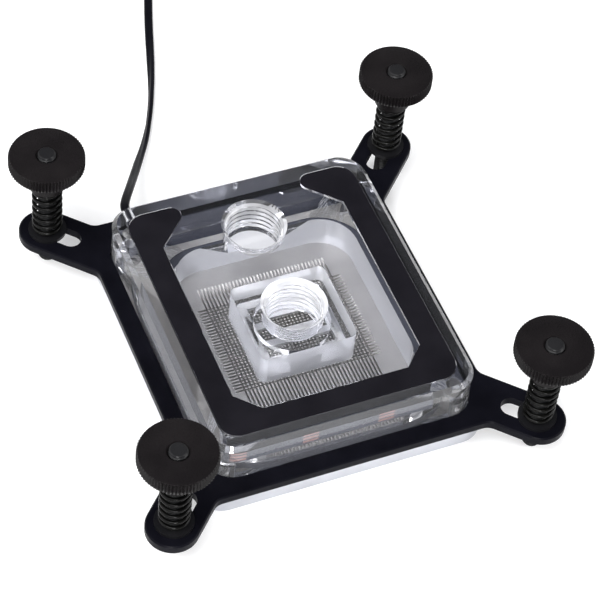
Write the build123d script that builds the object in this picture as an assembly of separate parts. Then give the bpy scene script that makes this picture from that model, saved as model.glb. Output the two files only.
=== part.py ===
"""Processor water block: a clear chamber top on a finned cold plate, clamped by a
four-armed bracket with sprung thumb nuts.

Millimetres, +Z up, +Y towards the outlet port. The origin is the centre of the
cold plate's contact face, which rests on the processor.
"""

from build123d import *
import os
from math import acos, cos, pi, radians, sin, sqrt, tan

# Cold plate
plate_corner = 6.0
plate_thick = 4.6
plate_edge = 0.4

# Micro fins, sawn into the cold plate by a round saw
fin_field_width = 30.0
fin_flat_length = 28.4
fin_shift = 2.1
fin_pitch = 0.8
fin_slot = 0.4
fin_height = 2.4
saw_radius = 8.0

# Clear top, with the flange that the bracket presses on
flange_thick = 2.0
flange_side = 2.8
flange_end = 2.0
top_width = 58.4
top_depth = 68.0
top_corner = 6.0
top_height = 17.4
top_bevel = 1.0
chamber_width = 41.0
chamber_depth = 45.0
chamber_corner = 8.0
ceiling_thick = 5.0

# Square boss over the fins, with its jet plate
boss_width = 21.5
boss_depth = 20.0
boss_corner = 1.6
boss_rim = 1.4
plenum_radius = 8.2
plenum_height = 2.6
jet_thick = 0.8
jet_corner = 0.8
jet_slots = 3
jet_slot_length = 15.0
jet_slot_width = 3.4
jet_slot_pitch = 5.0

# Ports for G1/4 fittings, drawn at the tapping size
inlet_y = -2.5
outlet_past_chamber = 0.5
thread_radius = 5.9
outlet_bore_depth = 9.0
port_chamfer = 1.2

# Face plate
face_side_margin = 3.2
face_end_margin = 3.5
face_corner = 4.0
face_thick = 1.0
face_leg = 5.2
face_bar = 4.9
face_cut = 4.8
face_slant = 10.0
face_tip = 2.2

# Square-cut seal ring between the clear top and the cold plate
seal_size = 1.9
seal_margin = 2.3

# Countersunk screws that hold the cold plate
screw_radius = 1.5
screw_head_radius = 2.8
screw_head_height = 1.4
screw_length = 10.0
screw_key = 2.0
screw_key_depth = 0.9
screw_inset = 4.3

# Lighting strip on edge in a groove under the face plate
led_board_length = 44.6
led_board_height = 3.5
led_board_thick = 0.8
led_board_inset = 0.6
led_front_inset = 0.4
led_count = 3
led_pitch = 16.7
led_first = 9.1
led_length = 3.5
led_height = 2.6
led_thick = 1.1
led_groove_depth = 5.6

# Lead of the lighting strip, with the rest of its length in a coil, and its plug
cable_radius = 1.0
cable_sides = 8
cable_bend = 0.45
cable_inset = 1.7
cable_depth = 2.4
lead_depth = 2.4
coil_radius = 11.0
coil_turns = 2.25
coil_rise = 2.1
coil_slack = 0.25
tie_width = 2.4
tie_thick = 0.5
plug_length = 11.0
plug_width = 7.6
plug_height = 3.4
plug_socket = 1.2
plug_socket_depth = 4.0
plug_pitch = 2.2
plug_latch_length = 5.0
plug_latch_width = 2.4
plug_latch_height = 0.7

# Mounting bracket
frame_side = 4.1
frame_end = 4.0
bracket_thick = 2.0
bracket_edge = 0.3
arm_width = 11.2
arm_neck = 3.0
arm_pattern = 80.9
stud_pattern = 80.0
slot_pattern = 72.0
slot_width = 4.5

# Studs, washers, springs and thumb nuts
stud_radius = 2.0
stud_end = 0.4
stud_tip_height = 0.2
stud_proud = 0.6
stud_room = 0.6
washer_radius = 4.1
washer_hole = 2.15
washer_thick = 0.8
spring_radius = 3.3
spring_wire = 0.85
spring_pitch = 2.15
spring_height = 13.9
spring_steps = 12
spring_sides = 5
nut_head_radius = 8.1
nut_head_height = 3.2
nut_height = 9.2
nut_hub_radius = 4.0
nut_mouth = 0.35
knurl_teeth = 72
knurl_depth = 0.35

# Clearances
seat_gap = 0.1
window_gap = 0.25
running_gap = 0.06
touch_gap = 0.05

# Sizes and places that follow from the values above
plate_width = top_width + 2 * flange_side
plate_depth = top_depth + 2 * flange_end
frame_width = top_width + 2 * frame_side
frame_depth = top_depth + 2 * frame_end
face_width = top_width - 2 * face_side_margin
face_depth = top_depth - 2 * face_end_margin
jet_width = boss_width - 2 * boss_rim
jet_depth = boss_depth - 2 * boss_rim
outlet_y = inlet_y + chamber_depth / 2 + outlet_past_chamber
flange_top = plate_thick + flange_thick
bracket_top = flange_top + bracket_thick
ceiling = top_height - ceiling_thick
face_low = top_height - face_thick
plenum_low = plate_thick + jet_thick
plenum_top = plenum_low + plenum_height
fin_floor = plate_thick - fin_height
seal_width = chamber_width + 2 * seal_margin
seal_depth = chamber_depth + 2 * seal_margin
seal_corner = chamber_corner + seal_margin
led_groove_low = face_low - led_groove_depth
led_board_left = -face_width / 2 + led_board_inset
led_board_front = -face_depth / 2 + led_front_inset
led_board_back = led_board_front + led_board_thick
led_chip_back = led_board_back + led_thick
cable_x = -face_width / 2 + cable_inset
cable_low = face_low - cable_depth
cable_z = face_low - cable_depth / 2
cable_start_y = led_chip_back + seat_gap
lead_start_y = top_depth / 2 - lead_depth
coil_low = tie_thick + touch_gap
coil_top = coil_low + 2 * cable_radius + coil_turns * coil_rise
spring_low = bracket_top + washer_thick
nut_low = spring_low + spring_height
stud_top = nut_low + nut_height + stud_proud
corners = {
    "front_left": (-1, -1),
    "front_right": (1, -1),
    "back_right": (1, 1),
    "back_left": (-1, 1),
}
screw_places = [
    (x * (top_width / 2 - screw_inset), y * (top_depth / 2 - screw_inset)) for x, y in corners.values()
]

# Route of the free lead: out of the back, down to the table and away, chosen by hand
lead_route = [
    Vector(cable_x, lead_start_y, cable_z),
    Vector(cable_x, 35.0, cable_z),
    Vector(-22.9, 38.2, 14.2),
    Vector(-20.4, 42.7, 12.0),
    Vector(-17.1, 49.1, 8.0),
    Vector(-12.9, 57.1, 3.6),
    Vector(-8.8, 64.1, 1.2),
    Vector(-5.3, 70.9, cable_radius),
    Vector(-1.8, 79.3, cable_radius),
    Vector(1.5, 89.3, cable_radius),
    Vector(5.0, 100.6, cable_radius),
    Vector(9.1, 112.3, cable_radius),
    Vector(14.0, 123.6, coil_low + cable_radius),
]

# The coil turns to the right of the lead's last run, and the tail leaves it a quarter turn on
lead_run = lead_route[-1] - lead_route[-2]
lead_way = Vector(lead_run.X, lead_run.Y, 0).normalized()
tail_way = lead_way.cross(Vector(0, 0, 1))
coil_middle = lead_route[-1] + tail_way * coil_radius
tail_start = coil_middle + lead_way * coil_radius
tail_steps = [
    (0.0, coil_top - cable_radius),
    (4.5, 5.8),
    (9.5, 3.4),
    (14.0, plug_height / 2),
    (18.0, plug_height / 2),
]
tail_route = [
    Vector(tail_start.X + tail_way.X * reach, tail_start.Y + tail_way.Y * reach, height)
    for reach, height in tail_steps
]


def slab(width, depth, corner, low, high, y=0.0):
    """Upright block with rounded corners between two heights."""
    outline = Pos(0, y, low) * RectangleRounded(width, depth, corner)
    return extrude(outline, high - low)


def post(radius, low, high, x=0.0, y=0.0):
    """Upright cylinder between two heights."""
    return extrude(Pos(x, y, low) * Circle(radius), high - low)


def block(low, high):
    """Plain box between two opposite corners."""
    size = [b - a for a, b in zip(low, high)]
    middle = [(a + b) / 2 for a, b in zip(low, high)]
    return Pos(*middle) * Box(*size)


def turned(*points):
    """Solid of revolution about Z from (radius, height) points, with one face for each pair of points."""
    profile = Plane.XZ * make_face(Polyline(*points, close=True))
    return revolve(profile, Axis.Z, clean=False)


def screw_shape(low, high, head_radius, radius, head_height):
    """Countersunk screw without its key: a cone under a straight shank."""
    return turned((0, low), (head_radius, low), (radius, low + head_height), (radius, high), (0, high))


def fin_cutter():
    """One saw cut along Y: flat in the middle, with the saw's round run-out in two flats at each end."""
    half_flat = fin_flat_length / 2
    run_out = acos(1 - fin_height / saw_radius)
    back = []
    for angle in (0, run_out / 2, run_out):
        rise = saw_radius * (1 - cos(angle))
        back.append((half_flat + saw_radius * sin(angle), fin_floor + rise))
    front = [(-y, z) for y, z in reversed(back)]
    profile = Plane.YZ * make_face(Polyline(*back, *front, close=True))
    return Pos(-fin_slot / 2, inlet_y - fin_shift, 0) * extrude(profile, fin_slot)


def make_cold_plate():
    """Plated copper base with the fin field and the screws' countersunk holes."""
    plate = slab(plate_width, plate_depth, plate_corner, 0, plate_thick)
    plate = chamfer(plate.faces().sort_by(Axis.Z)[0].edges(), plate_edge)
    count = int(fin_field_width / fin_pitch)
    cutter = fin_cutter()
    first = -(count - 1) * fin_pitch / 2
    plate -= [Pos(first + n * fin_pitch, 0, 0) * cutter for n in range(count)]
    hole = screw_shape(
        0, plate_thick, screw_head_radius + seat_gap, screw_radius + seat_gap, screw_head_height
    )
    return plate - [Pos(x, y, 0) * hole for x, y in screw_places]


def make_base_screws():
    """Group of countersunk screws with hexagon sockets."""
    shape = screw_shape(
        touch_gap, screw_length, screw_head_radius, screw_radius, screw_head_height
    )
    key_outline = Pos(0, 0, touch_gap) * RegularPolygon(screw_key / 2, 6, major_radius=False)
    screw = shape - extrude(key_outline, screw_key_depth)
    return Compound(children=[Pos(x, y, 0) * screw for x, y in screw_places])


def face_outline():
    """U-shaped trim outline: two legs and a front bar, with cut corners and slanted tips."""
    half_width = face_width / 2 - face_leg
    front = -face_depth / 2 + face_bar
    back = face_depth / 2
    past = face_corner
    half = [
        (half_width - face_cut, front),
        (half_width, front + face_cut),
        (half_width, back - face_slant),
        (half_width - face_slant - past, back + past),
    ]
    mirrored = [(-x, y) for x, y in reversed(half)]
    window = make_face(Polyline(*half, *mirrored, close=True))
    outline = RectangleRounded(face_width, face_depth, face_corner) - window
    tips = [
        outline.vertices().sort_by_distance((side * (half_width - face_slant), back))[0]
        for side in (-1, 1)
    ]
    return fillet(tips, face_tip)


def make_face_plate():
    """Thin black plate that lies flush in the clear top."""
    return extrude(Pos(0, 0, face_low) * face_outline(), face_thick)


def port(y, depth):
    """Cut for one port: tapping bore with a chamfered mouth."""
    mouth = top_height - port_chamfer
    bottom = top_height - depth
    return turned(
        (0, bottom),
        (thread_radius, bottom),
        (thread_radius, mouth),
        (thread_radius + port_chamfer, top_height),
        (0, top_height),
    ).moved(Location((0, y, 0)))


def make_clear_top():
    """Clear block: flange, chamber with the square boss, ports and the cuts that hold its fittings."""
    flange = slab(plate_width, plate_depth, plate_corner, plate_thick, flange_top)
    body = slab(top_width, top_depth, top_corner, flange_top, top_height)
    body = chamfer(body.faces().sort_by(Axis.Z)[-1].edges(), top_bevel)
    chamber = slab(chamber_width, chamber_depth, chamber_corner, plate_thick, ceiling, inlet_y)
    boss = slab(boss_width, boss_depth, boss_corner, plate_thick, ceiling, inlet_y)
    top = flange + body - (chamber - boss)

    jet_seat = slab(
        jet_width + 2 * seat_gap, jet_depth + 2 * seat_gap, jet_corner, plate_thick, plenum_low, inlet_y
    )
    plenum = post(plenum_radius, plenum_low, plenum_top, 0, inlet_y)
    top -= [jet_seat, plenum, port(inlet_y, top_height - plenum_top), port(outlet_y, outlet_bore_depth)]

    top -= seal_loop(seal_size / 2 + seat_gap, plate_thick, plate_thick + seal_size + 2 * touch_gap)
    recess = extrude(Pos(0, 0, face_low) * offset(face_outline(), seat_gap), face_thick)
    top -= [recess, led_groove(), cable_channel()]
    hole = post(screw_radius + touch_gap, plate_thick, screw_length + seat_gap)
    return top - [Pos(x, y, 0) * hole for x, y in screw_places]


def led_groove():
    """Groove under the face plate's front bar for the lighting strip."""
    right = led_board_left + led_board_length
    return block(
        (led_board_left - seat_gap, led_board_front - seat_gap, led_groove_low),
        (right + seat_gap, led_chip_back + seat_gap, face_low),
    )


def cable_channel():
    """Channel under the left leg, and the hole that leads it out of the back wall."""
    half_width = cable_radius + 2 * seat_gap
    leg_back = face_depth / 2
    channel = block(
        (cable_x - half_width, led_board_back, cable_low), (cable_x + half_width, leg_back, face_low)
    )
    return channel + rod(cable_radius + seat_gap, leg_back - cable_radius, top_depth / 2 + top_bevel)


def make_jet_plate():
    """Slotted plate that spreads the inlet flow over the fins."""
    plate = slab(jet_width, jet_depth, jet_corner, plate_thick, plenum_low, inlet_y)
    slot = extrude(Pos(0, inlet_y, plate_thick) * Rectangle(jet_slot_length, jet_slot_width), jet_thick)
    return plate - GridLocations(0, jet_slot_pitch, 1, jet_slots) * slot


def seal_loop(half_width, low, high):
    """Loop round the chamber on the seal's line, between two heights."""
    outer = slab(
        seal_width + 2 * half_width, seal_depth + 2 * half_width, seal_corner + half_width, low, high, inlet_y
    )
    inner = slab(
        seal_width - 2 * half_width, seal_depth - 2 * half_width, seal_corner - half_width, low, high, inlet_y
    )
    return outer - inner


def make_seal_ring():
    """Seal in the clear top's groove."""
    low = plate_thick + touch_gap
    return seal_loop(seal_size / 2, low, low + seal_size)


def make_led_board():
    """Narrow circuit strip that stands on edge on the groove's floor."""
    return block(
        (led_board_left, led_board_front, led_groove_low),
        (led_board_left + led_board_length, led_board_back, led_groove_low + led_board_height),
    )


def make_led_chips():
    """Group of light chips on the strip's back, facing the chamber."""
    chip = chamfer(Box(led_length, led_thick, led_height).edges().filter_by(Axis.Y), led_thick / 4)
    middle = led_groove_low + led_board_height / 2
    places = [led_board_left + led_first + n * led_pitch for n in range(led_count)]
    return Compound(children=[Pos(x, led_board_back + led_thick / 2, middle) * chip for x in places])


def rod(radius, front, back):
    """Cylinder along Y on the line of the lead's channel."""
    outline = Plane.XZ.offset(-front) * Pos(cable_x, cable_z) * Circle(radius)
    return extrude(outline, front - back)


def make_cable_inner():
    """Stretch of the lead that lies in the clear top's channel."""
    return rod(cable_radius, cable_start_y, lead_start_y)


def tube(route):
    """Many-sided cord along straight runs joined by arcs nearly as large as the runs allow."""
    runs = [b - a for a, b in zip(route, route[1:])]
    radii = []
    for before, after in zip(runs, runs[1:]):
        shorter = min(before.length, after.length)
        radii.append(cable_bend * shorter / tan(radians(before.get_angle(after)) / 2))
    path = FilletPolyline(*route, radius=radii)
    section = Plane(origin=path @ 0, z_dir=path % 0) * RegularPolygon(cable_radius, cable_sides)
    return sweep(section, path=path)


def make_cable_coil():
    """Outer shape of the lead's coiled length."""
    half_width = cable_radius + coil_slack
    ring = post(coil_radius + half_width, coil_low, coil_top)
    ring -= post(coil_radius - half_width, coil_low, coil_top)
    return Pos(coil_middle.X, coil_middle.Y, 0) * ring


def make_cable_tie():
    """Flat tie round the coil's turns, on the side away from the lead."""
    half_width = cable_radius + coil_slack
    bow = tie_width**2 / 8 / (coil_radius - half_width)
    opening_width = 2 * (half_width + bow + touch_gap)
    opening_height = coil_top - coil_low + 2 * touch_gap
    band = Rectangle(opening_width + 2 * tie_thick, opening_height + 2 * tie_thick)
    band -= Rectangle(opening_width, opening_height)
    tie = extrude(band, tie_width / 2, both=True)
    place = coil_middle + tail_way * coil_radius
    middle = Vector(place.X, place.Y, (coil_low + coil_top) / 2)
    return Plane(origin=middle, x_dir=tail_way, z_dir=lead_way) * tie


def make_cable_plug():
    """Flat three-way plug at the end of the tail, with sockets in its far face and a latch on top."""
    body = chamfer(Box(plug_width, plug_height, plug_length).edges().filter_by(Axis.Z), plug_height / 8)
    sockets = [
        Pos(n * plug_pitch, 0, (plug_length - plug_socket_depth) / 2)
        * Box(plug_socket, plug_socket, plug_socket_depth)
        for n in (-1, 0, 1)
    ]
    latch = Pos(0, (plug_height + plug_latch_height) / 2, 0) * Box(
        plug_latch_width, plug_latch_height, plug_latch_length
    )
    plug = Pos(0, 0, plug_length / 2) * (body - sockets + latch)
    return Plane(origin=tail_route[-1], x_dir=lead_way, z_dir=tail_way) * plug


def diagonal_slot(inner, outer, width):
    """Round-ended slot along the diagonal between two square patterns, in the first quadrant."""
    middle = (inner + outer) / 4
    span = (outer - inner) / 2 * sqrt(2)
    return Pos(middle, middle) * Rot(0, 0, 45) * SlotCenterToCenter(span, width)


def make_mounting_bracket():
    """Sheet frame round the clear top, with four slotted arms on the diagonals.

    The outline is grown with sharp corners and shrunk back with round ones, which rounds the inside corners.
    """
    turns = (0, 90, 180, 270)
    arm = diagonal_slot(arm_pattern / 2, arm_pattern, arm_width)
    outline = Rectangle(frame_width, frame_depth)
    outline += [Rot(0, 0, angle) * arm for angle in turns]
    grown = offset(outline, arm_neck, kind=Kind.INTERSECTION)
    outline = offset(grown, -arm_neck, kind=Kind.ARC)
    bracket = extrude(Pos(0, 0, flange_top) * outline, bracket_thick)
    bracket = chamfer(bracket.faces().sort_by(Axis.Z)[-1].edges(), bracket_edge)
    window = slab(
        top_width + 2 * window_gap, top_depth + 2 * window_gap,
        top_corner + window_gap, flange_top, bracket_top,
    )
    slot_outline = Pos(0, 0, flange_top) * diagonal_slot(slot_pattern, stud_pattern, slot_width)
    slot = extrude(slot_outline, bracket_thick)
    return bracket - [window, *(Rot(0, 0, angle) * slot for angle in turns)]


def make_stud():
    """Threaded stud with chamfered ends; its wall below the bracket is a face of its own."""
    end_radius = stud_radius - stud_end
    return turned(
        (0, stud_tip_height),
        (end_radius, stud_tip_height),
        (stud_radius, stud_tip_height + stud_end),
        (stud_radius, flange_top - stud_room),
        (stud_radius, stud_top - stud_end),
        (end_radius, stud_top),
        (0, stud_top),
    )


def make_washer():
    """Flat washer between the spring and the bracket's arm."""
    return post(washer_radius, bracket_top, spring_low) - post(washer_hole, bracket_top, spring_low)


def make_spring():
    """Coil spring between the washer and the thumb nut, its wire in short straight runs with mitred ends."""
    reach = spring_radius - spring_wire / 2
    low = spring_low + touch_gap + spring_wire / 2
    rise = spring_height - spring_wire - 2 * touch_gap
    count = round(rise / spring_pitch * spring_steps)
    step = 2 * pi / spring_steps
    points = [
        Vector(reach * cos(n * step), reach * sin(n * step), low + rise * n / count) for n in range(count + 1)
    ]
    ways = [(b - a).normalized() for a, b in zip(points, points[1:])]
    section = RegularPolygon(spring_wire / 2, spring_sides)
    start = Plane(origin=points[0], x_dir=(1, 0, 0), z_dir=ways[0]) * section
    rim = [corner.center() for corner in start.vertices()]
    sections = [start]
    for point, way, next_way in zip(points[1:], ways, ways[1:] + ways[-1:]):
        mitre = (way + next_way).normalized()
        rim = [corner + way * ((point - corner).dot(mitre) / way.dot(mitre)) for corner in rim]
        sections.append(make_face(Polyline(*rim, close=True)))
    return loft(sections, ruled=True)


def make_thumb_nut():
    """Thumb nut: knurled head on a round hub, with a chamfered running bore."""
    bore = stud_radius + running_gap
    top = nut_low + nut_height
    head_low = top - nut_head_height
    step = 2 * pi / knurl_teeth
    rim = []
    for n in range(knurl_teeth):
        for radius, angle in ((nut_head_radius, n * step), (nut_head_radius - knurl_depth, (n + 0.5) * step)):
            rim.append((radius * cos(angle), radius * sin(angle)))
    head = extrude(Pos(0, 0, head_low) * make_face(Polyline(*rim, close=True)), nut_head_height)
    hole = turned((0, nut_low), (bore, nut_low), (bore, top - nut_mouth), (bore + nut_mouth, top), (0, top))
    return head + post(nut_hub_radius, nut_low, head_low) - hole


def corner_pieces():
    """The four sprung fasteners, each at the outer end of its slot."""
    makers = {
        "stud": make_stud(),
        "washer": make_washer(),
        "spring": make_spring(),
        "thumb_nut": make_thumb_nut(),
    }
    reach = stud_pattern / 2
    pieces = {}
    for corner, (x, y) in corners.items():
        for name, shape in makers.items():
            pieces[f"{name}_{corner}"] = Pos(x * reach, y * reach, 0) * shape
    return pieces


def main():
    pieces = {
        "cold_plate": make_cold_plate(),
        "clear_top": make_clear_top(),
        "face_plate": make_face_plate(),
        "jet_plate": make_jet_plate(),
        "seal_ring": make_seal_ring(),
        "base_screws": make_base_screws(),
        "led_board": make_led_board(),
        "led_chips": make_led_chips(),
        "cable_inner": make_cable_inner(),
        "cable_lead": tube(lead_route),
        "cable_coil": make_cable_coil(),
        "cable_tie": make_cable_tie(),
        "cable_tail": tube(tail_route),
        "cable_plug": make_cable_plug(),
        "mounting_bracket": make_mounting_bracket(),
        **corner_pieces(),
    }
    os.makedirs("parts", exist_ok=True)
    for name, shape in pieces.items():
        export_step(shape, f"parts/{name}.step")


main()
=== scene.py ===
"""Processor water block: camera, lead, fine detail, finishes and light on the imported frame."""

import bpy
from math import acos, cos, pi, radians, sin
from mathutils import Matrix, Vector


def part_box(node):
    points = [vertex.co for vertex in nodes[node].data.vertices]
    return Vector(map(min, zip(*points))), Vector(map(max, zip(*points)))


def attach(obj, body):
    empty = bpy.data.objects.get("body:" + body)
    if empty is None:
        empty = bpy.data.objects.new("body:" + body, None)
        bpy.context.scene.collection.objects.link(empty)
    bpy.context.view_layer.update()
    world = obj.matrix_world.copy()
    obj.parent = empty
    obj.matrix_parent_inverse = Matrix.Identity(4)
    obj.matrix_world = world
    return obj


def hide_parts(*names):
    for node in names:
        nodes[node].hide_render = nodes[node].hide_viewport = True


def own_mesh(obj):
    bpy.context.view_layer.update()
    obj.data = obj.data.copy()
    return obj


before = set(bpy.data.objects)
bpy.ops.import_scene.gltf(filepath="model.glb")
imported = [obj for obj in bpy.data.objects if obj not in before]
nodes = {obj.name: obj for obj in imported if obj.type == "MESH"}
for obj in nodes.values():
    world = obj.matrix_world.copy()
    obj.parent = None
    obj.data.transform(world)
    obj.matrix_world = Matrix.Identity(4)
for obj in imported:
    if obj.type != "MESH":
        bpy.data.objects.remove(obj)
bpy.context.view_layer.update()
scene = bpy.context.scene
mm = 0.001
corners = ("front_left", "front_right", "back_right", "back_left")

# Camera: place in metres, turn in degrees, lens and sensor in millimetres
camera_place = (-0.14229082, -0.28080753, 0.40063667)
camera_turn = (39.09905912, -4.3502273, -21.94877599)
camera_lens = 142.33009
camera_sensor = 36.0

# Lead: route, coil to the right of its last run, and tail to the plug, in millimetres and degrees
lead_route = [
    (-24.3, 31.6, 15.2),
    (-24.3, 35.0, 15.2),
    (-22.9, 38.2, 14.2),
    (-20.4, 42.7, 12.0),
    (-17.1, 49.1, 8.0),
    (-12.9, 57.1, 3.6),
    (-8.8, 64.1, 1.4),
    (-5.3, 70.9, 1.1),
    (-1.8, 79.3, 1.1),
    (1.5, 89.3, 1.1),
    (5.0, 100.6, 1.1),
    (9.1, 112.3, 1.1),
    (14.0, 123.6, 1.55),
]
lead_width = 2.0
lead_thick = 1.0
lead_twist = [(0, 0), (25, 0), (45, 70), (55, 70), (75, 0), (400, 0)]
core_reach = 120
core_step = 30
coil_radius = 11.0
coil_turns = 2.25
coil_steps = 16
coil_top = 6.275
tail_steps = [(4.5, 5.8), (9.5, 3.4), (14.0, 1.7), (18.0, 1.7)]
spline_order = 3
spline_steps = 8

# Threads of the ports and the studs, in millimetres; the land is a share of the pitch
thread_land = 0.3
port_pitch = 1.337
port_root = 5.95
port_crest = 6.55
port_plain = 0.7
port_over = 1
port_columns = 96
port_rows = 16
stud_pitch = 0.7
stud_root = 1.65
stud_bevel = 0.4
stud_columns = 24
stud_rows = 10

# Chamber, boss and ports of the clear top, in millimetres
boss_y = -2.5
boss_width = 21.5
boss_depth = 20.0
chamber_width = 41.0
chamber_depth = 45.0
port_places = [(boss_y, 8.0), (20.5, 8.4)]
groove_gap = 0.6
face_gap = 0.1

# How the clear top's faces are told apart: parts of a normal, and shares of the boss's size
upright_limit = 0.95
flank_lift = 0.3
back_facing = 0.9
boss_wall = (0.95, 1.02)

# Cross cuts that split the fins into pins, in millimetres
cut_count = 29
cut_pitch = 0.8
cut_width = 0.4
cut_floor = 2.25
cut_flat = 22.0
cut_middle = -1.7
cut_lip = 0.4
saw_radius = 8.0
saw_steps = 6

# Springs and thumb nuts, in millimetres
spring_wire = 0.85
spring_pitch = 2.0
spring_end_turns = 0.8
spring_gap = 0.02
spring_steps = 36
spring_sides = 10
nut_bore = 2.06
nut_mouth = 0.35
nut_hub = 4.0
nut_hub_bevel = 0.3
nut_head_height = 3.2
nut_bevel = 0.3
nut_ease = 0.2
nut_drop = 0.05
knurl_teeth = 72
knurl_depth = 0.45
tooth_columns = 4

# Copper pads on the lighting strip's front, in millimetres
pad_middles = (-23.6, -7.9, 8.8)
pad_rows = (-1, 0, 1)
pad_length = 3.4
pad_height = 0.6
pad_pitch = 1.05
pad_thick = 0.04

# Meshes: welding distance in millimetres, and the angles in degrees above which edges stay sharp
weld_gap = 0.002
flat_weight = 100
block_sharp = 28
lead_sharp = 60
stud_sharp = 40
spring_sharp = 50
nut_sharp = 35

# Finishes: noise scales per metre, and heights and sizes in millimetres
noise_detail = 3.0
noise_span = (0.35, 0.65)
drift_scale = 120
grain_strength = 0.4
satin_size = (52.0, 52.0)
satin_low = 1.5
# Height below which the nickel in the fin slots is painted lighter, as painted light against their shade;
# the fin tops above it are painted darker
painted_slot_light_height = 4.5
plating_grain = 5000
plating_stretch = (1, 8, 1)
plating_unevenness = 0.02
polished_rough = 0.01
satin_rough = 0.50
acrylic_colour = (0.95, 0.955, 0.985)
acrylic_shadow = (0.95, 0.955, 0.97)
acrylic_index = 1.49

# Studio: floor in millimetres, lamps as place and size in metres and power in watts
floor_size = 3000
floor_grey = 0.82
floor_rough = 0.9
floor_glow = 0.3
studio_low = (0.25, (1.0, 1.0, 1.0))
studio_high = (0.65, (0.065, 0.068, 0.088))
lamps = {
    "top_lamp": ((-0.4, -0.2, 1.0), 0.6, 10),
    "left_lamp": ((-0.9, 0.2, 0.7), 0.7, 4),
    "right_lamp": ((0.8, -0.5, 0.6), 0.5, 5),
    "front_lamp": ((-0.42, -0.85, 0.6), 0.2, 6),
}


def add_camera():
    """Camera at the photograph's angle."""
    data = bpy.data.cameras.new("camera")
    data.lens = camera_lens
    data.sensor_width = camera_sensor
    camera = bpy.data.objects.new("camera", data)
    camera.location = camera_place
    camera.rotation_euler = [radians(angle) for angle in camera_turn]
    scene.collection.objects.link(camera)
    scene.camera = camera


def new_object(name, points, faces):
    """Mesh object in the shared frame from points in millimetres."""
    mesh = bpy.data.meshes.new(name)
    mesh.from_pydata([Vector(point) * mm for point in points], [], faces)
    piece = bpy.data.objects.new(name, mesh)
    scene.collection.objects.link(piece)
    return piece


def gather(name, shapes):
    """One object from several closed shapes, each given as points and faces."""
    points = []
    faces = []
    for some_points, some_faces in shapes:
        faces += [tuple(k + len(points) for k in face) for face in some_faces]
        points += some_points
    return new_object(name, points, faces)


def shade(piece, angle):
    """Smooth shading, with edges above an angle in degrees kept sharp."""
    piece.data.shade_smooth()
    piece.data.set_sharp_from_angle(angle=radians(angle))


def level(piece):
    """Let large flat faces set the shading at their edges, so that they stay flat."""
    weigh = piece.modifiers.new("weigh", "WEIGHTED_NORMAL")
    weigh.keep_sharp = True
    weigh.weight = flat_weight
    apply_modifiers(piece)


def place(piece, body, slot, *replaced):
    """Let a piece ride on its body, in place of CAD nodes where some are named."""
    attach(piece, body)
    if replaced:
        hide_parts(*replaced)


def apply_modifiers(piece):
    """Replace a piece's mesh by what its modifiers make of it."""
    shaped = piece.evaluated_get(bpy.context.evaluated_depsgraph_get())
    mesh = bpy.data.meshes.new_from_object(shaped)
    piece.modifiers.clear()
    piece.data = mesh


def copy_node(name, node):
    """Editable copy of a CAD node's mesh, with its faces joined at their edges."""
    source = nodes[node].data
    points = [vertex.co / mm for vertex in source.vertices]
    piece = new_object(name, points, [tuple(face.vertices) for face in source.polygons])
    weld = piece.modifiers.new("weld", "WELD")
    weld.merge_threshold = weld_gap * mm
    apply_modifiers(piece)
    return piece


def node_middle(node):
    """Middle of a CAD node's box, in millimetres."""
    low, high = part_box(node)
    return (low + high) / 2 / mm


def cut(piece, cutter):
    """Take a cutter's shape out of a piece and delete the cutter."""
    step = piece.modifiers.new("cut", "BOOLEAN")
    step.operation = "DIFFERENCE"
    step.solver = "MANIFOLD"
    step.object = cutter
    apply_modifiers(piece)
    piece.data.materials.clear()
    bpy.data.objects.remove(cutter)


def skin(rows, ring=False):
    """Faces over rows of equally many points: a rod closed at both ends, or a ring of rows."""
    columns = len(rows[0])
    last = len(rows) - 1
    faces = []
    for n in range(len(rows) if ring else last):
        low = n * columns
        high = (n + 1) % len(rows) * columns
        for k in range(columns):
            next_k = (k + 1) % columns
            faces.append((low + k, low + next_k, high + next_k, high + k))
    if not ring:
        faces.append(tuple(reversed(range(columns))))
        faces.append(tuple(range(last * columns, (last + 1) * columns)))
    points = [point for row in rows for point in row]
    return points, faces


def threaded_rod(middle, root, crest, pitch, low, high, columns, rows_per_turn, bevel=0.0):
    """Upright rod with a thread that has narrow lands, and bevelled ends where a bevel is given."""
    steps = round((high - low) / pitch * rows_per_turn)
    rows = []
    for n in range(steps + 1):
        z = low + (high - low) * n / steps
        end_limit = crest - bevel + min(z - low, high - z) if bevel else crest
        row = []
        for k in range(columns):
            slope = acos(cos(2 * pi * (z / pitch - k / columns))) / pi
            wave = max(slope - thread_land, 0) / (1 - thread_land)
            radius = min(root + (crest - root) * wave, end_limit)
            angle = 2 * pi * k / columns
            row.append((middle[0] + radius * cos(angle), middle[1] + radius * sin(angle), z))
        rows.append(row)
    return skin(rows)


def lead_points():
    """Control points of the whole lead: route, coil turns and tail."""
    points = [Vector(point) for point in lead_route]
    end = points[-1]
    way = end - points[-2]
    way.z = 0
    way.normalize()
    aside = Vector((way.y, -way.x, 0))
    middle = end + aside * coil_radius
    count = round(coil_turns * coil_steps)
    for n in range(1, count + 1):
        angle = 2 * pi * n / coil_steps
        point = middle + (way * sin(angle) - aside * cos(angle)) * coil_radius
        point.z = end.z + (coil_top - end.z) * n / count
        points.append(point)
    start = points[-1]
    for reach, height in tail_steps:
        points.append(Vector((start.x + aside.x * reach, start.y + aside.y * reach, height)))
    return points


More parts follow.
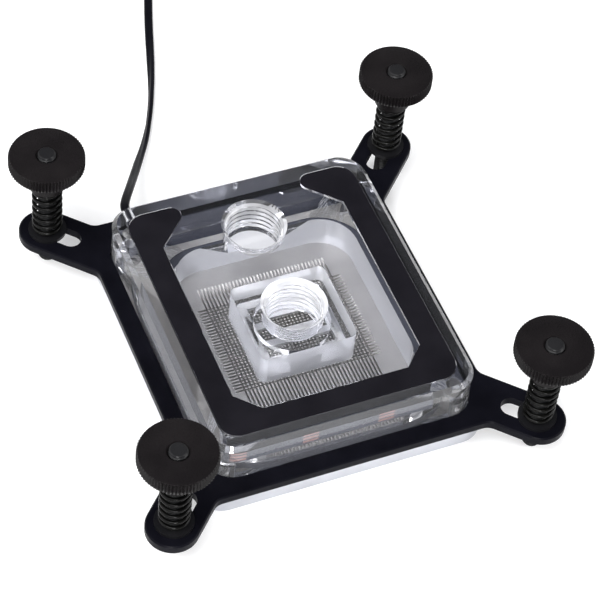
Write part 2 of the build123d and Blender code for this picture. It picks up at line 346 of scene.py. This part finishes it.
def lead_line():
    """Points along the lead's smooth spline, in millimetres."""
    curve = bpy.data.curves.new("lead_line", "CURVE")
    curve.dimensions = "3D"
    spline = curve.splines.new("NURBS")
    points = lead_points()
    spline.points.add(len(points) - 1)
    for knot, point in zip(spline.points, points):
        knot.co = (*point, 1)
    spline.order_u = spline_order
    spline.use_endpoint_u = True
    spline.resolution_u = spline_steps
    holder = bpy.data.objects.new("lead_line", curve)
    mesh = bpy.data.meshes.new_from_object(holder)
    line = [vertex.co.copy() for vertex in mesh.vertices]
    bpy.data.objects.remove(holder)
    bpy.data.meshes.remove(mesh)
    return line


def between(steps, value):
    """Value on a line of (place, value) steps."""
    for (a, low), (b, high) in zip(steps, steps[1:]):
        if value <= b:
            return low + (high - low) * (value - a) / (b - a)
    return steps[-1][1]


def lead_section():
    """Section of the two-core flat lead, as (across, up) points."""
    radius = lead_thick / 2
    middle = lead_width / 2 - radius
    right = [radians(angle) for angle in range(-core_reach, core_reach + 1, core_step)]
    section = [(middle + radius * cos(angle), radius * sin(angle)) for angle in right]
    return section + [(-across, -up) for across, up in section]


def add_lead():
    """Flat two-core lead from the block's back to its plug, with one twist on the way."""
    line = lead_line()
    section = lead_section()
    rows = []
    length = 0.0
    for n, point in enumerate(line):
        way = (line[min(n + 1, len(line) - 1)] - line[max(n - 1, 0)]).normalized()
        if n:
            length += (point - line[n - 1]).length
        across = way.cross(Vector((0, 0, 1))).normalized()
        up = across.cross(way)
        twist = radians(between(lead_twist, length))
        wide = across * cos(twist) + up * sin(twist)
        thick = up * cos(twist) - across * sin(twist)
        rows.append([point + wide * a + thick * b for a, b in section])
    lead = new_object("lead", *skin(rows))
    shade(lead, lead_sharp)
    lead.data.materials.append(lead_skin())
    place(lead, "block", "cable_skin", "cable_lead", "cable_coil", "cable_tail")


def add_clear_top():
    """Clear top with tapped ports; its milled walls are less clear than its polished ones."""
    top = copy_node("clear_block", "clear_top")
    cutter_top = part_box("clear_top")[1].z / mm + port_over
    for y, bottom in port_places:
        cutter = threaded_rod(
            (0, y), port_root, port_crest, port_pitch,
            bottom + port_plain, cutter_top, port_columns, port_rows,
        )
        cut(top, new_object("port_cutter", *cutter))
    finishes = {
        "polished": polished_acrylic(),
        "milled": milled_acrylic(),
        "frosted": frosted_acrylic(),
        "tapped": tapped_acrylic(),
        "buffed": buffed_acrylic(),
        "flank": flank_acrylic(),
        "seal": seal_rubber(),
    }
    for material in finishes.values():
        top.data.materials.append(material)
    order = list(finishes)
    seal = [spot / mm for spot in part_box("seal_ring")]
    for face in top.data.polygons:
        spot = face.center / mm
        finish = acrylic_finish(spot, face.normal)
        if finish == "buffed" and in_groove(spot, seal):
            finish = "seal"
        face.material_index = order.index(finish)
    shade(top, block_sharp)
    level(top)
    place(top, "block", "acrylic", "clear_top")


def in_groove(spot, seal):
    """Whether a face lies in the seal's box, a little enlarged, as the walls of its groove do."""
    low, high = seal
    around = all(low[axis] - groove_gap < spot[axis] < high[axis] + groove_gap for axis in (0, 1))
    return around and low.z < spot.z < high.z + groove_gap


def acrylic_finish(spot, normal):
    """Name of one face's finish, from its place and the way it faces."""
    upright = abs(normal.z) < upright_limit
    for y, bottom in port_places:
        in_port = (spot.x**2 + (spot.y - y) ** 2) ** 0.5 < port_crest + face_gap
        if in_port and bottom - face_gap < spot.z < bottom + face_gap:
            return "frosted"
        if in_port and spot.z > bottom and upright:
            return "flank" if normal.z > flank_lift else "tapped"
    beside = spot - Vector((0, boss_y, 0))
    share = max(abs(beside.x) / boss_width, abs(beside.y) / boss_depth) * 2
    if boss_wall[0] < share < boss_wall[1] and upright:
        return "frosted"
    in_width = abs(beside.x) < chamber_width / 2 + face_gap
    in_depth = abs(beside.y) < chamber_depth / 2 + face_gap
    if in_width and in_depth and upright:
        return "buffed" if normal.y > back_facing else "milled"
    return "buffed" if upright else "polished"


def add_pads():
    """Rows of copper pads on the front of the lighting strip."""
    low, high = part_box("led_board")
    front = low.y / mm
    left = low.x / mm
    shapes = []
    for middle in pad_middles:
        start = max(middle - pad_length / 2, left)
        end = middle + pad_length / 2
        for row in pad_rows:
            z = (low.z + high.z) / 2 / mm + row * pad_pitch
            bottom = z - pad_height / 2
            top = z + pad_height / 2
            outline = [(start, bottom), (end, bottom), (end, top), (start, top)]
            rows = [[(x, y, height) for x, height in outline] for y in (front, front - pad_thick)]
            shapes.append(skin(rows))
    pads = gather("strip_pads", shapes)
    pads.data.materials.append(pad_copper())
    place(pads, "block", "light_chip")


def add_cold_plate():
    """Cold plate with cross cuts that split its fins into pins."""
    plate = copy_node("pin_plate", "cold_plate")
    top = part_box("cold_plate")[1].z / mm
    run_out = acos(1 - (top - cut_floor) / saw_radius)
    half = []
    for n in range(saw_steps + 1):
        angle = run_out * n / saw_steps
        half.append((cut_flat / 2 + saw_radius * sin(angle), cut_floor + saw_radius * (1 - cos(angle))))
    half.append((half[-1][0] + cut_lip, top + cut_lip))
    outline = half + [(-x, z) for x, z in reversed(half)]
    shapes = []
    for n in range(cut_count):
        y = cut_middle + (n - (cut_count - 1) / 2) * cut_pitch
        rows = [[(x, y + side * cut_width / 2, z) for x, z in outline] for side in (1, -1)]
        shapes.append(skin(rows))
    cut(plate, gather("cross_cutter", shapes))
    shade(plate, block_sharp)
    level(plate)
    plate.data.materials.append(nickel())
    place(plate, "block", "nickel", "cold_plate")


def add_stud(corner, material):
    """Stud with its thread."""
    low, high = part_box(f"stud_{corner}")
    crest = (high.x - low.x) / 2 / mm
    rod = threaded_rod(
        node_middle(f"stud_{corner}"), stud_root, crest, stud_pitch,
        low.z / mm, high.z / mm, stud_columns, stud_rows, stud_bevel,
    )
    stud = new_object(f"threaded_stud_{corner}", *rod)
    shade(stud, stud_sharp)
    stud.data.materials.append(material)
    place(stud, f"stud_{corner}", "stud_steel", f"stud_{corner}")


def add_spring(corner, material):
    """Round-wire spring with closed end turns, sized to its part's box between washer and nut."""
    low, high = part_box(f"spring_{corner}")
    middle = node_middle(f"stud_{corner}")
    reach = (high.x - low.x) / 2 / mm - spring_wire / 2 - spring_gap
    bottom = low.z / mm + spring_wire / 2
    rise = (high.z - low.z) / mm - spring_wire
    end_rise = spring_end_turns * spring_wire
    turns = (rise - 2 * end_rise) / spring_pitch
    heights = [
        (0, 0),
        (spring_end_turns, end_rise),
        (spring_end_turns + turns, rise - end_rise),
        (2 * spring_end_turns + turns, rise),
    ]
    count = round(heights[-1][0] * spring_steps)
    rows = []
    for n in range(count + 1):
        turn = heights[-1][0] * n / count
        out = Vector((cos(2 * pi * turn), sin(2 * pi * turn), 0))
        centre = Vector((middle.x, middle.y, bottom + between(heights, turn))) + out * reach
        row = []
        for k in range(spring_sides):
            angle = -2 * pi * k / spring_sides
            row.append(centre + (out * cos(angle) + Vector((0, 0, sin(angle)))) * spring_wire / 2)
        rows.append(row)
    spring = new_object(f"wire_spring_{corner}", *skin(rows))
    shade(spring, spring_sharp)
    spring.data.materials.append(material)
    place(spring, f"spring_{corner}", "spring_steel", f"spring_{corner}")
    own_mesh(spring)


def nut_profile(bottom, top, rim):
    """Half section of a thumb nut, as (radius, height, share of the knurl's depth) points."""
    head = top - nut_head_height
    edge = rim - nut_bevel
    return [
        (nut_bore, bottom, 0),
        (nut_hub - nut_hub_bevel, bottom, 0),
        (nut_hub, bottom + nut_hub_bevel, 0),
        (nut_hub, head, 0),
        (edge - nut_ease, head, 0),
        (edge, head + nut_drop, 0),
        (rim, head + nut_bevel, 1),
        (rim, top - nut_bevel, 1),
        (edge, top - nut_drop, 0),
        (edge - nut_ease, top, 0),
        (nut_bore + nut_mouth, top, 0),
        (nut_bore, top - nut_mouth, 0),
    ]


def add_nut(corner, material):
    """Thumb nut with a fine straight knurl between bevelled rims."""
    low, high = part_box(f"thumb_nut_{corner}")
    middle = node_middle(f"thumb_nut_{corner}")
    columns = knurl_teeth * tooth_columns
    rows = []
    for radius, z, share in nut_profile(low.z / mm, high.z / mm, (high.x - low.x) / 2 / mm):
        row = []
        for k in range(columns):
            angle = 2 * pi * k / columns
            reach = radius - knurl_depth * share * (0.5 - 0.5 * cos(knurl_teeth * angle))
            row.append((middle.x + reach * cos(angle), middle.y + reach * sin(angle), z))
        rows.append(row)
    nut = new_object(f"knurled_nut_{corner}", *skin(rows, ring=True))
    shade(nut, nut_sharp)
    nut.data.materials.append(material)
    place(nut, f"nut_{corner}", "nut_black", f"thumb_nut_{corner}")


def start_material(name):
    """New material with its node tree and its main shader."""
    material = bpy.data.materials.new(name)
    material.use_nodes = True
    return material, material.node_tree, material.node_tree.nodes["Principled BSDF"]


def maths(tree, operation, *values):
    """Result of a math node on numbers and sockets."""
    node = tree.nodes.new("ShaderNodeMath")
    node.operation = operation
    for socket, value in zip(node.inputs, values):
        if isinstance(value, bpy.types.NodeSocket):
            tree.links.new(value, socket)
        else:
            socket.default_value = value
    return node.outputs["Value"]


def spot_parts(tree, kind):
    """Node that gives a shaded spot's X, Y and Z in one kind of coordinates."""
    coords = tree.nodes.new("ShaderNodeTexCoord")
    split = tree.nodes.new("ShaderNodeSeparateXYZ")
    tree.links.new(coords.outputs[kind], split.inputs["Vector"])
    return split


def noise(tree, scale, stretch=(1, 1, 1)):
    """Noise of a scale per metre in the shared frame."""
    coords = tree.nodes.new("ShaderNodeTexCoord")
    mapping = tree.nodes.new("ShaderNodeMapping")
    mapping.inputs["Scale"].default_value = stretch
    texture = tree.nodes.new("ShaderNodeTexNoise")
    texture.inputs["Scale"].default_value = scale
    texture.inputs["Detail"].default_value = noise_detail
    tree.links.new(coords.outputs["Object"], mapping.inputs["Vector"])
    tree.links.new(mapping.outputs["Vector"], texture.inputs["Vector"])
    return texture.outputs["Fac"]


def vary(tree, value, limits, socket):
    """Drive a socket between two values by a noise."""
    spread = tree.nodes.new("ShaderNodeMapRange")
    spread.inputs["From Min"].default_value = noise_span[0]
    spread.inputs["From Max"].default_value = noise_span[1]
    spread.inputs["To Min"].default_value = limits[0]
    spread.inputs["To Max"].default_value = limits[1]
    tree.links.new(value, spread.inputs["Value"])
    tree.links.new(spread.outputs["Result"], socket)


def tint(tree, value, colours, socket):
    """Drive a colour socket between two colours by a noise."""
    ramp = tree.nodes.new("ShaderNodeValToRGB")
    for stop, colour, position in zip(ramp.color_ramp.elements, colours, noise_span):
        stop.position = position
        stop.color = (*colour, 1)
    tree.links.new(value, ramp.inputs["Fac"])
    tree.links.new(ramp.outputs["Color"], socket)


def relief(tree, shader, value, depth):
    """Bump of a depth in millimetres by a noise."""
    bump = tree.nodes.new("ShaderNodeBump")
    bump.inputs["Strength"].default_value = grain_strength
    bump.inputs["Distance"].default_value = depth * mm
    tree.links.new(value, bump.inputs["Height"])
    tree.links.new(bump.outputs["Normal"], shader.inputs["Normal"])


def coated(name, colours, rough, grain, specular=0.3, metallic=0.0, depth=0.02, stretch=(1, 1, 1)):
    """Opaque finish: colour drift, uneven gloss and a fine grain."""
    material, tree, shader = start_material(name)
    shader.inputs["Metallic"].default_value = metallic
    shader.inputs["Specular IOR Level"].default_value = specular
    fine = noise(tree, grain, stretch)
    tint(tree, noise(tree, drift_scale), colours, shader.inputs["Base Color"])
    vary(tree, fine, rough, shader.inputs["Roughness"])
    relief(tree, shader, fine, depth)
    return material


def bracket_coat():
    colours = [(0.003, 0.003, 0.005), (0.005, 0.005, 0.008)]
    return coated("bracket_coat", colours, rough=(0.30, 0.42), grain=9000, specular=0.045)


def trim_coat():
    colours = [(0.007, 0.0065, 0.009), (0.010, 0.0093, 0.0125)]
    return coated("trim_coat", colours, rough=(0.38, 0.48), grain=14000, specular=0.09)


def nut_black():
    colours = [(0.008, 0.007, 0.0075), (0.012, 0.0105, 0.011)]
    return coated("nut_black", colours, rough=(0.24, 0.34), grain=9000, specular=0.07)


def stud_steel():
    colours = [(0.010, 0.010, 0.011), (0.015, 0.015, 0.016)]
    return coated("stud_steel", colours, rough=(0.25, 0.4), grain=9000, specular=0.15)


def washer_black():
    colours = [(0.005, 0.005, 0.006), (0.009, 0.009, 0.010)]
    return coated("washer_black", colours, rough=(0.28, 0.4), grain=9000, specular=0.25)


def spring_steel():
    colours = [(0.002, 0.002, 0.002), (0.004, 0.004, 0.0035)]
    return coated("spring_steel", colours, rough=(0.12, 0.20), grain=9000, specular=0.12)


def nickel():
    """Nickel plating: polished round the chamber and satin on its floor, where the fin tops are painted
    darker against their highlights and the slots painted lighter against their shade.
    """
    material, tree, shader = start_material("nickel")
    shader.inputs["Metallic"].default_value = 1.0
    satin_part = maths(tree, "GREATER_THAN", within(tree, satin_size), below(tree, satin_low))
    fine = noise(tree, plating_grain, plating_stretch)
    drift = noise(tree, drift_scale)
    # Painted shade and light on the chamber floor: fin tops painted darker, the slots below them painted
    # lighter
    painted_tops_or_slots = blend_colours(tree, below(tree, painted_slot_light_height))
    tint(tree, drift, [(0.43, 0.42, 0.41), (0.49, 0.48, 0.47)], painted_tops_or_slots.inputs["A"])
    tint(tree, drift, [(0.60, 0.585, 0.57), (0.68, 0.665, 0.65)], painted_tops_or_slots.inputs["B"])
    whole = blend_colours(tree, satin_part)
    tint(tree, drift, [(0.54, 0.55, 0.59), (0.60, 0.61, 0.65)], whole.inputs["A"])
    tree.links.new(painted_tops_or_slots.outputs["Result"], whole.inputs["B"])
    tree.links.new(whole.outputs["Result"], shader.inputs["Base Color"])
    even = maths(tree, "MULTIPLY_ADD", satin_part, satin_rough - polished_rough, polished_rough)
    uneven = maths(tree, "MULTIPLY_ADD", fine, plating_unevenness, even)
    tree.links.new(uneven, shader.inputs["Roughness"])
    return material


def blend_colours(tree, share):
    """Mix of two colours by a share."""
    blend = tree.nodes.new("ShaderNodeMix")
    blend.data_type = "RGBA"
    tree.links.new(share, blend.inputs["Factor"])
    return blend


def below(tree, height):
    """1 below a height in millimetres, 0 above it."""
    return maths(tree, "LESS_THAN", spot_parts(tree, "Object").outputs["Z"], height * mm)


def within(tree, size):
    """1 inside an upright box of a size in millimetres round the origin, 0 outside."""
    spot = spot_parts(tree, "Object")
    sides = []
    for axis, width in zip("XY", size):
        sides.append(maths(tree, "COMPARE", spot.outputs[axis], 0.0, width / 2 * mm))
    return maths(tree, "MULTIPLY", *sides)


def jet_steel():
    colours = [(0.70, 0.70, 0.71), (0.80, 0.80, 0.81)]
    return coated(
        "jet_steel", colours, rough=(0.35, 0.5), grain=6000, specular=0.5, metallic=1.0, depth=0.006,
        stretch=(8, 1, 1),
    )


def seal_rubber():
    colours = [(0.040, 0.042, 0.055), (0.050, 0.053, 0.068)]
    return coated("seal_rubber", colours, rough=(0.5, 0.65), grain=5000, specular=0.2)


def circuit():
    colours = [(0.035, 0.040, 0.060), (0.050, 0.056, 0.080)]
    return coated("circuit", colours, rough=(0.3, 0.45), grain=3000, specular=0.5)


def pad_copper():
    colours = [(0.30, 0.14, 0.12), (0.42, 0.24, 0.21)]
    return coated("pad_copper", colours, rough=(0.3, 0.45), grain=3000, specular=0.5)


def light_chip():
    colours = [(0.72, 0.70, 0.62), (0.8, 0.79, 0.74)]
    return coated("light_chip", colours, rough=(0.3, 0.5), grain=3000, specular=0.5)


def lead_skin():
    colours = [(0.004, 0.004, 0.006), (0.007, 0.007, 0.010)]
    return coated("lead_skin", colours, rough=(0.3, 0.4), grain=5000, specular=0.05)


def plug_plastic():
    colours = [(0.014, 0.014, 0.015), (0.022, 0.022, 0.023)]
    return coated("plug_plastic", colours, rough=(0.4, 0.55), grain=6000)


def screw_steel():
    colours = [(0.5, 0.49, 0.47), (0.6, 0.59, 0.57)]
    return coated(
        "screw_steel", colours, rough=(0.22, 0.36), grain=7000, specular=0.5, metallic=1.0, depth=0.004
    )


def acrylic(name, rough, grain, haze):
    """Clear acrylic with a share of white haze; shadow and diffuse rays go straight through it."""
    material, tree, shader = start_material(name)
    shader.inputs["Base Color"].default_value = (*acrylic_colour, 1)
    shader.inputs["Transmission Weight"].default_value = 1 - haze
    shader.inputs["IOR"].default_value = acrylic_index
    vary(tree, noise(tree, grain), rough, shader.inputs["Roughness"])
    path = tree.nodes.new("ShaderNodeLightPath")
    through = maths(tree, "MAXIMUM", path.outputs["Is Shadow Ray"], path.outputs["Is Diffuse Ray"])
    clear = tree.nodes.new("ShaderNodeBsdfTransparent")
    clear.inputs["Color"].default_value = (*acrylic_shadow, 1)
    mix = tree.nodes.new("ShaderNodeMixShader")
    tree.links.new(through, mix.inputs["Fac"])
    tree.links.new(shader.outputs["BSDF"], mix.inputs[1])
    tree.links.new(clear.outputs["BSDF"], mix.inputs[2])
    tree.links.new(mix.outputs["Shader"], tree.nodes["Material Output"].inputs["Surface"])
    return material


def polished_acrylic():
    return acrylic("polished_acrylic", rough=(0.0, 0.015), grain=400, haze=0.006)


def buffed_acrylic():
    return acrylic("buffed_acrylic", rough=(0.03, 0.05), grain=900, haze=0.06)


def milled_acrylic():
    return acrylic("milled_acrylic", rough=(0.04, 0.09), grain=2500, haze=0.45)


def frosted_acrylic():
    return acrylic("frosted_acrylic", rough=(0.18, 0.26), grain=2500, haze=0.55)


def tapped_acrylic():
    return acrylic("tapped_acrylic", rough=(0.0, 0.03), grain=3000, haze=0.03)


def flank_acrylic():
    return acrylic("flank_acrylic", rough=(0.15, 0.25), grain=3000, haze=0.28)


def dress_nodes():
    """Finishes of the CAD nodes that stay."""
    finishes = {
        "face_plate": trim_coat(),
        "jet_plate": jet_steel(),
        "seal_ring": seal_rubber(),
        "base_screws": screw_steel(),
        "led_board": circuit(),
        "led_chips": light_chip(),
        "cable_inner": lead_skin(),
        "cable_tie": plug_plastic(),
        "cable_plug": plug_plastic(),
        "mounting_bracket": bracket_coat(),
    }
    black_washer = washer_black()
    for corner in corners:
        finishes[f"washer_{corner}"] = black_washer
    for name, material in finishes.items():
        nodes[name].material_slots[0].material = material


def add_floor():
    """Pale floor that shows white to the camera, the metal and the clear block, and keeps the shadow."""
    outline = [(-1, -1), (1, -1), (1, 1), (-1, 1)]
    points = [(x * floor_size, y * floor_size, 0) for x, y in outline]
    floor = new_object("floor", points, [(0, 1, 2, 3)])
    material, tree, shader = start_material("floor_paper")
    shader.inputs["Base Color"].default_value = (floor_grey, floor_grey, floor_grey, 1)
    shader.inputs["Roughness"].default_value = floor_rough
    shader.inputs["Specular IOR Level"].default_value = 0.0
    shader.inputs["Emission Color"].default_value = (1, 1, 1, 1)
    tree.links.new(maths(tree, "MULTIPLY", seen_ray(tree), floor_glow), shader.inputs["Emission Strength"])
    floor.data.materials.append(material)


def seen_ray(tree):
    """1 for rays of the camera and of reflections and refractions, 0 for other light."""
    path = tree.nodes.new("ShaderNodeLightPath")
    bent = maths(tree, "MAXIMUM", path.outputs["Is Glossy Ray"], path.outputs["Is Transmission Ray"])
    return maths(tree, "MAXIMUM", path.outputs["Is Camera Ray"], bent)


def add_world():
    """Studio round the object: white near the floor, dim blue-grey overhead."""
    world = bpy.data.worlds.new("studio")
    scene.world = world
    world.use_nodes = True
    tree = world.node_tree
    ramp = tree.nodes.new("ShaderNodeValToRGB")
    for stop, (position, colour) in zip(ramp.color_ramp.elements, (studio_low, studio_high)):
        stop.position = position
        stop.color = (*colour, 1)
    tree.links.new(spot_parts(tree, "Generated").outputs["Z"], ramp.inputs["Fac"])
    tree.links.new(ramp.outputs["Color"], tree.nodes["Background"].inputs["Color"])


def add_lights():
    """Soft square lamps aimed at the origin: three large ones and a small one in front."""
    for name, (spot, size, power) in lamps.items():
        data = bpy.data.lights.new(name, "AREA")
        data.size = size
        data.energy = power
        lamp = bpy.data.objects.new(name, data)
        lamp.location = spot
        lamp.rotation_euler = (-Vector(spot)).to_track_quat("-Z", "Y").to_euler()
        scene.collection.objects.link(lamp)


add_camera()
add_lead()
add_clear_top()
add_cold_plate()
add_pads()
stud_finish = stud_steel()
spring_finish = spring_steel()
nut_finish = nut_black()
for corner in corners:
    add_stud(corner, stud_finish)
    add_spring(corner, spring_finish)
    add_nut(corner, nut_finish)
dress_nodes()
add_floor()
add_world()
add_lights()
scene.view_settings.view_transform = "Standard"
